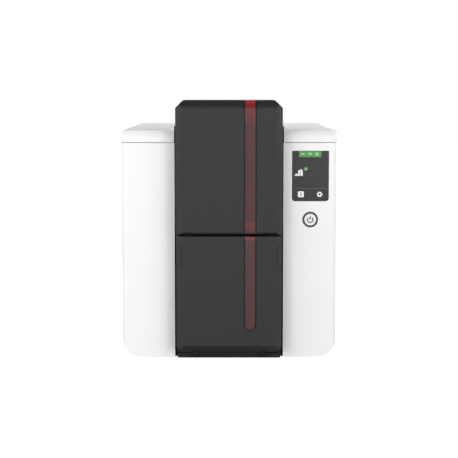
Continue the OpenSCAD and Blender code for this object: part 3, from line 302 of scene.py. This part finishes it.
def tintedAcrylicPaintedLight(hazeMm=4.2):
    # cast red acrylic, polished, over dark slots: a deep tint under a clear shine, with light and shade
    # painted in. At each height the tint is dull + (lit - dull) * share, and the share of painted light
    # follows what stands behind the strip
    surface, tree, place = newSurface("redAcrylic")
    lowerTop = boxMm("output_window")[1][2]
    upperFoot, upperTop = (end[2] for end in boxMm("feeder_window"))
    parts = addNode(tree, "ShaderNodeSeparateXYZ", links={"Vector": (place, "Object")})
    height = addNode(tree, "ShaderNodeMapRange", {"From Max": upperTop * mm}, {"Value": (parts, "Z")})
    ramp = addNode(tree, "ShaderNodeValToRGB", links={"Fac": (height, "Result")})
    elements = ramp.color_ramp.elements
    lit = np.array(toLinear(paintedStripLight["lit"]))
    elements[0].color = toLinear(paintedStripLight["overHopper"])
    elements[1].color = lit
    stops = [(lowerTop - fall, "overHopper", share) for fall, share in paintedStripLight["lowerLight"].items()]
    stops += [(upperFoot + rise, "overCards", share) for rise, share in paintedStripLight["upperLight"].items()]
    for stopHeight, behind, share in stops:
        dull = np.array(toLinear(paintedStripLight[behind]))
        elements.new(stopHeight / upperTop).color = dull + (lit - dull) * share
    haze = addNode(tree, "ShaderNodeTexNoise", {"Scale": 1 / (hazeMm * mm), "Detail": 2.0},
                   {"Vector": (place, "Object")})
    spread = addNode(tree, "ShaderNodeMapRange", {"To Min": 0.16, "To Max": 0.30}, {"Value": (haze, "Fac")})
    shader = addNode(tree, "ShaderNodeBsdfPrincipled", {"IOR": 1.49, "Transmission Weight": 0.12},
                     {"Base Color": (ramp, "Color"), "Roughness": (spread, "Result")})
    addNode(tree, "ShaderNodeOutputMaterial", links={"Surface": (shader, 0)})
    return surface


def circuitBoard(name, colour, rowMm=2.925):
    # green solder mask over rows of copper, which stand a little proud and look lighter. A row is a
    # quarter of the pattern's size, and is drawn wider than real tracks so that it shows
    surface, tree, place = newSurface(name)
    tracks = addNode(tree, "ShaderNodeTexBrick",
                     {"Scale": 0.25 / (rowMm * mm), "Mortar Size": 0.03, "Color1": toLinear(colour),
                      "Color2": toLinear("#1b5f3d"), "Mortar": toLinear("#2f8257")},
                     {"Vector": (place, "Object")})
    bump = addNode(tree, "ShaderNodeBump", {"Strength": 0.3, "Distance": 0.05 * mm},
                   {"Height": (tracks, "Fac")})
    shader = addNode(tree, "ShaderNodeBsdfPrincipled", {"Roughness": 0.32, "Coat Weight": 0.3},
                     {"Base Color": (tracks, "Color"), "Normal": (bump, "Normal")})
    addNode(tree, "ShaderNodeOutputMaterial", links={"Surface": (shader, 0)})
    return surface


def smoothGlaze(name, colour, shade, rough, ior=1.5, cloudMm=24.0, smearMm=3.6):
    # glossy film, glaze or panel glass, with the faint unevenness of its surface
    surface, tree, place = newSurface(name)
    cloud = addNode(tree, "ShaderNodeTexNoise", {"Scale": 1 / (cloudMm * mm), "Detail": 2.0},
                    {"Vector": (place, "Object")})
    tone = addNode(tree, "ShaderNodeMix", {"data_type": "RGBA", 6: toLinear(colour), 7: toLinear(shade)},
                   {0: (cloud, "Fac")})
    smear = addNode(tree, "ShaderNodeTexNoise", {"Scale": 1 / (smearMm * mm)},
                    {"Vector": (place, "Object")})
    spread = addNode(tree, "ShaderNodeMapRange", {"To Min": rough * 0.8, "To Max": rough * 1.25},
                     {"Value": (smear, "Fac")})
    shader = addNode(tree, "ShaderNodeBsdfPrincipled", {"IOR": ior},
                     {"Base Color": (tone, 2), "Roughness": (spread, "Result")})
    addNode(tree, "ShaderNodeOutputMaterial", links={"Surface": (shader, 0)})
    return surface


surfaces = {   # name, its colours, its roughness, then the size of its grain in mm and what else it has
    "white_abs": mouldedPlastic("whiteAbs", "#f4f4f3", "#f2f2f1", 0.42, 0.55, 0.22),
    "liner_abs": mouldedPlastic("greyAbs", "#c9cacb", "#c3c4c5", 0.5, 0.6, 0.25),
    "dark_abs": mouldedPlastic("charcoalAbs", "#282828", "#262626", 0.50, 0.5, 0.20, 0.24),
    "black_abs": mouldedPlastic("blackAbs", "#141414", "#121212", 0.52, 0.5, 0.22, 0.2),
    "socket_black": mouldedPlastic("blackNylon", "#161616", "#1b1b1b", 0.5, 0.4, 0.3),
    "ring_grey": mouldedPlastic("greySatin", "#2e2e2e", "#2b2b2b", 0.38, 0.3, 0.12),
    "button_white": mouldedPlastic("whiteSatin", "#f0f0ef", "#ececeb", 0.4, 0.3, 0.1),
    "lever_grey": mouldedPlastic("greyAcetal", "#6f7478", "#686d71", 0.42, 0.5, 0.2),
    "gear_pom": mouldedPlastic("ivoryAcetal", "#e6e1d2", "#dfd9c8", 0.36, 0.5, 0.12),
    "cassette_blue": mouldedPlastic("slateAbs", "#3c4a58", "#374452", 0.42, 0.5, 0.2),
    "red_window": tintedAcrylicPaintedLight(),
    "foot_rubber": mattRubber("footRubber", "#1d1d1d", "#252525"),
    "belt_rubber": mattRubber("beltRubber", "#1b1b1b", "#262626", 0.3),
    "roller_rubber": mattRubber("rollerRubber", "#2b2b2b", "#343434", 0.25),
    "clean_rubber": mattRubber("tackyRubber", "#5f7f93", "#6a8a9e", 0.3),
    "steel_sheet": sheetSteel("zincSheet", "#b8bcc0", 0.38),
    "motor_steel": sheetSteel("motorCan", "#a9adb0", 0.34),
    "heat_alu": sheetSteel("anodisedAluminium", "#8f9498", 0.42, 0.15),
    "socket_steel": sheetSteel("tinnedSteel", "#c0c4c7", 0.3, 0.2),
    "steel_rod": turnedMetal("groundSteel", "#9da2a6", "#7f8488", 0.26),
    "bronze": turnedMetal("sinteredBronze", "#b89a4a", "#a0853c", 0.44),
    "pinion_brass": turnedMetal("cutBrass", "#c8a24a", "#b8923c", 0.3),
    "board": circuitBoard("solderMask", "#1f6b45"),
    "head_ceramic": smoothGlaze("glazedCeramic", "#6b4c35", "#5e4330", 0.2),
    "display": smoothGlaze("panelGlass", "#202020", "#222222", 0.22),
    "ribbon_wound": smoothGlaze("woundFilm", "#7d4a6a", "#6b3f5b", 0.18, 1.6),
    "ribbon_fresh": smoothGlaze("freshFilm", "#c9a227", "#b8921f", 0.18, 1.6),
}
litWhite = smoothGlaze("litWhite", "#f4f4f4", "#f0f0f0", 0.3)
litGreen = smoothGlaze("litGreen", "#3d9a37", "#3a9434", 0.3)
litGrey = smoothGlaze("litGrey", "#5c5c5c", "#595959", 0.3)
print("materials ready:", len(surfaces))


edges = {
    "merge": 0.001,    # mm, corners this close are one
    "flat": 0.6,       # degrees, faces that bend less than this are one
    "sharp": 32.0,     # degrees, edges that bend more than this are rounded
    "steps": 2,
    "usual": 0.2,      # mm, the small round that a moulding or a tumbled part has along its edges
    "radius": {        # mm, where it differs
        "left_side_cover": 0.18, "right_side_cover": 0.18, "rear_cover": 0.4, "lid_shell": 0.18,
        "feeder_door": 0.7, "output_door": 0.7, "feeder_housing": 0.5, "output_hopper": 0.4,
        "bottom_tray": 0.4, "card_weight": 0.5, "power_button": 0.3, "button_ring": 0.35,
        "lid_liner": 0.5, "inner_deck": 0.3, "ribbon_cassette": 0.4, "display_window": 0.15,
        "feeder_window": 0.15, "output_window": 0.15, "rubber_feet": 0.4, "take_up_gear": 0.12,
        "ribbon_pinion": 0.08, "main_board": 0.1, "control_board": 0.1,
    },
    "cutUp": {"lid_shell", "output_hopper"},    # a flat face runs round a notch: triangles round cleanly
}
slotOf = {part["node"]: part["material_slot"] for part in frame["record"]["subparts"]}
bodyOf = {n: body for body, members in frame["record"]["behaviour"]["bodies"].items() for n in members}


def weldedCopy(node, name):
    # one closed mesh with its flat faces whole again, so that edges can be rounded
    copy = bpy.data.objects.new(name, nodes[node].data.copy())
    scene.collection.objects.link(copy)
    work = bmesh.new()
    work.from_mesh(copy.data)
    bmesh.ops.remove_doubles(work, verts=work.verts, dist=edges["merge"] * mm)
    bmesh.ops.dissolve_limit(work, angle_limit=math.radians(edges["flat"]), verts=work.verts,
                             edges=work.edges)
    if node in edges["cutUp"]:
        bmesh.ops.triangulate(work, faces=work.faces)
    work.to_mesh(copy.data)
    work.free()
    return copy


def shadeSmooth(mesh):
    mesh.polygons.foreach_set("use_smooth", np.ones(len(mesh.polygons), dtype=bool))


def softenEdges(piece, radiusMm):
    rounding = piece.modifiers.new("edgeRound", "BEVEL")
    rounding.width = radiusMm * mm
    rounding.segments = edges["steps"]
    rounding.limit_method = "ANGLE"
    rounding.angle_limit = math.radians(edges["sharp"])
    shading = piece.modifiers.new("flatFaces", "WEIGHTED_NORMAL")
    shading.weight = 100     # the most, so that large flat faces stay flat beside the rounds
    shadeSmooth(piece.data)


def dress(piece, slotName, surface=None):
    piece.data.materials.clear()
    piece.data.materials.append(surface or surfaces[slotName])


def finishNode(node):
    parts = node.split("_")
    name = parts[0] + "".join(p.capitalize() for p in parts[1:])
    piece = weldedCopy(node, name)
    softenEdges(piece, edges["radius"].get(node, edges["usual"]))
    dress(piece, slotOf[node])
    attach(piece, bodyOf[node])
    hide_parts(node)
    return piece


finished = [finishNode(node) for node in slotOf if node != "head_springs"]
print("solids finished:", len(finished))


springs = {
    "wire": 0.45,          # mm, the wire's radius
    "turns": 6.0,
    "closed": 1.0,         # turns at each end that lie flat against the next
    "closedRise": 2.02,    # what such a turn climbs, in wire radii: just clear of the turn below
    "steps": 28,           # points in a turn
    "sides": 10,
}


def tubeAlong(path, radius, sides):
    # a ring of points round each point of the path: its two directions are square to the path's own
    # direction, and the first of them is level
    along = np.gradient(path, axis=0)
    along /= np.linalg.norm(along, axis=1, keepdims=True)
    level = np.cross(along, [0.0, 0.0, 1.0])
    level /= np.linalg.norm(level, axis=1, keepdims=True)
    raised = np.cross(level, along)
    turn = np.linspace(0, 2 * math.pi, sides, endpoint=False)[None, :, None]
    rings = path[:, None] + radius * (np.cos(turn) * level[:, None] + np.sin(turn) * raised[:, None])
    count = len(path)
    row, column = np.meshgrid(np.arange(count - 1), np.arange(sides), indexing="ij")
    following = (column + 1) % sides
    quads = np.stack([row * sides + column, (row + 1) * sides + column, (row + 1) * sides + following,
                      row * sides + following], axis=-1).reshape(-1, 4)
    ends = [list(range(sides)), list(range(count * sides - 1, (count - 1) * sides - 1, -1))]
    return rings.reshape(-1, 3), quads.tolist() + ends


def windSprings():
    # helix: the height climbs at an even rate, except over the closed turns at either end,
    # where it climbs by one wire thickness a turn
    low, high = boxMm("head_springs")
    wire, total, closed = springs["wire"], springs["turns"], springs["closed"]
    outer = (high[1] - low[1]) / 2
    coil = outer - wire
    angle = np.linspace(0, total, int(total * springs["steps"]) + 1)
    closedRise = springs["closedRise"] * wire * closed
    rise = high[2] - low[2] - 2 * wire
    climb = np.interp(angle, [0, closed, total - closed, total], [0, closedRise, rise - closedRise, rise])
    verts, faces = [], []
    for centre in (low[0] + outer, high[0] - outer):
        path = np.column_stack([centre + coil * np.cos(2 * math.pi * angle),
                                (low[1] + high[1]) / 2 + coil * np.sin(2 * math.pi * angle),
                                low[2] + wire + climb])
        points, quads = tubeAlong(path, wire, springs["sides"])
        faces += [[corner + sum(map(len, verts)) for corner in quad] for quad in quads]
        verts.append(points)
    mesh = bpy.data.meshes.new("headSprings")
    mesh.from_pydata((np.vstack(verts) * mm).tolist(), [], faces)
    shadeSmooth(mesh)
    piece = bpy.data.objects.new("headSprings", mesh)
    scene.collection.objects.link(piece)
    dress(piece, slotOf["head_springs"])
    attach(piece, bodyOf["head_springs"])
    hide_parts("head_springs")


windSprings()
print("springs wound")


def platesFromOutlines(name, outlines, place, front, depth, slotName, body, surface=None):
    # each outline is a closed run of (x, z) points in mm from the place, carried back from y = front by
    # depth: the front ring, the back ring, one face on each, and one face for every side
    verts, faces, start = [], [], 0
    for outline in outlines:
        ring = np.asarray(outline, dtype=float) + place
        count = len(ring)
        spin = np.sum(ring[:, 0] * np.roll(ring[:, 1], -1) - np.roll(ring[:, 0], -1) * ring[:, 1])
        if spin < 0:
            ring = ring[::-1]
        near = np.column_stack([ring[:, 0], np.full(count, front), ring[:, 1]])
        far = near + [0, depth, 0]
        verts.append(np.vstack([near, far]))
        step = np.arange(count)
        following = (step + 1) % count
        sides = start + np.column_stack([step, count + step, count + following, following])
        faces.append([list(start + step)])
        faces.append([list(start + count + step[::-1])])
        faces.append(sides.tolist())
        start += 2 * count
    mesh = bpy.data.meshes.new(name)
    mesh.from_pydata((np.vstack(verts) * mm).tolist(), [], [f for group in faces for f in group])
    piece = bpy.data.objects.new(name, mesh)
    scene.collection.objects.link(piece)
    dress(piece, slotName, surface)
    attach(piece, body)


def arc(x, z, radius, turns):
    # circle: x + radius cos(turn), z + radius sin(turn)
    return np.column_stack([x + radius * np.cos(turns), z + radius * np.sin(turns)])


def rectangle(x0, z0, x1, z1, radius=0.0, steps=6):
    if radius <= 0:
        return np.array([(x0, z0), (x1, z0), (x1, z1), (x0, z1)])
    turns = np.linspace(0, math.pi / 2, steps)
    centres = [(x1 - radius, z1 - radius), (x0 + radius, z1 - radius), (x0 + radius, z0 + radius),
               (x1 - radius, z0 + radius)]
    return np.vstack([arc(x, z, radius, turns + quarter * math.pi / 2)
                      for quarter, (x, z) in enumerate(centres)])


def disc(x, z, radius, count=28):
    return arc(x, z, radius, np.linspace(0, 2 * math.pi, count, endpoint=False))


def arcBand(x, z, radius, width, start, end, count=36):
    # a curved stroke: the outer arc one way, the inner arc back
    turns = np.radians(np.linspace(start, end, count))
    return np.vstack([arc(x, z, radius + width / 2, turns), arc(x, z, radius - width / 2, turns)[::-1]])


def cogHalf(radius, teeth, side, root=0.76, hole=0.36, count=120):
    # half of a cog with a round hole, so that its face stays one closed outline; root and hole are
    # shares of the radius
    turns = np.radians(np.linspace(-90, 90, count) + (180 if side < 0 else 0))
    edge = radius * np.where(np.cos(teeth * turns + math.pi) > 0.0, 1.0, root)
    return np.vstack([arc(0, 0, edge, turns), arc(0, 0, hole * radius, turns)[::-1]])


def stroke(x0, z0, x1, z1, width):
    run = np.array([x1 - x0, z1 - z0], dtype=float)
    across = np.array([-run[1], run[0]]) / np.linalg.norm(run) * width / 2
    a, b = np.array([x0, z0]), np.array([x1, z1])
    return np.vstack([a - across, b - across, b + across, a + across])


displayLow, displayHigh = boxMm("display_window")
display = {              # mm
    "lift": 0.06,        # that a layer of printed ink stands proud
    "barWidth": 21.2,
    "barHeight": 5.65,
    "inset": 0.4,        # of the thin dividing line, from either side
    "square": 5.7,
}
dividerWidth = displayHigh[0] - displayLow[0] - 2 * display["inset"]
arrow = [stroke(-1.5, 0, 1.3, 0, 0.5), np.array([(-2.1, 0), (-0.9, 1.0), (-0.9, -1.0)])]
turnArrow = [arcBand(0, -0.1, 1.1, 0.45, -60, 150), np.array([(-1.7, 0.2), (-0.3, 0.2), (-1.0, -0.9)])]
threeRows = [stroke(-1.4, z, 1.4, z, 0.42) for z in (0.9, 0.0, -0.9)]
displayMarks = {   # mm from the display's left edge and from its top, layer of ink, ink, outlines in mm
    "displayBar": (6.4, 5.8, 1, litGreen, [rectangle(0, 0, display["barWidth"], display["barHeight"])]),
    "displayBarSigns": (6.4, 2.9, 2, litWhite,
                        [outline + (display["barWidth"] * share, 0) for share, sign in
                         ((0.2, arrow), (0.5, turnArrow), (0.8, threeRows)) for outline in sign]),
    "displayDivider": (display["inset"], 35.75, 1, litGrey, [rectangle(0, 0, dividerWidth, 0.25)]),
    "displayMachine": (2.2, 23.6, 1, litWhite,
                       [[(0, 0), (3.2, 0), (3.2, 2.0), (1.2, 2.0)], rectangle(3.5, 0, 5.2, 5.4),
                        [(5.6, 0), (7.9, 0), (7.9, 4.4), (6.9, 6.2), (5.6, 6.4)]]),
    "displayDot": (13.0, 17.0, 1, litGreen, [disc(0, 0, 1.9)]),
    "displayTick": (13.0, 17.0, 2, litWhite,
                    [stroke(-0.9, 0, -0.2, -0.7, 0.4), stroke(-0.2, -0.7, 1.0, 0.7, 0.4)]),
    "displaySquare": (5.5, 43.9, 1, litWhite, [rectangle(0, 0, display["square"], display["square"], 0.9)]),
    "displaySquareSign": (5.5 + display["square"] / 2, 43.9, 2, None,
                          [rectangle(-0.45, 1.2, 0.45, 3.2), disc(0, 4.2, 0.5, 16)]),
    "displayCog": (26.1, 41.2, 1, litWhite, [cogHalf(2.75, 8, 1), cogHalf(2.75, 8, -1)]),
}
buttonSign = {   # mm from the button's middle
    "ring": (0.0, -0.2, 2.55, 0.95, 125, 415),    # middle, radius, width of line, from and to in degrees
    "bar": (-0.48, 0.3, 0.48, 3.3),
    "lift": 0.05,
}


def markDisplay():
    lift = display["lift"]
    for name, (across, fall, layer, ink, outlines) in displayMarks.items():
        place = (displayLow[0] + across, displayHigh[2] - fall)
        platesFromOutlines(name, outlines, place, displayLow[1] - layer * lift, lift, "display", "housing",
                           ink)


def markButton():
    low, high = boxMm("power_button")
    lift = buttonSign["lift"]
    outlines = [arcBand(*buttonSign["ring"]), rectangle(*buttonSign["bar"])]
    place = ((low[0] + high[0]) / 2, (low[2] + high[2]) / 2)
    platesFromOutlines("buttonSign", outlines, place, low[1] - lift, lift, "ring_grey", "power_button")


markDisplay()
markButton()
print("display and button marked")
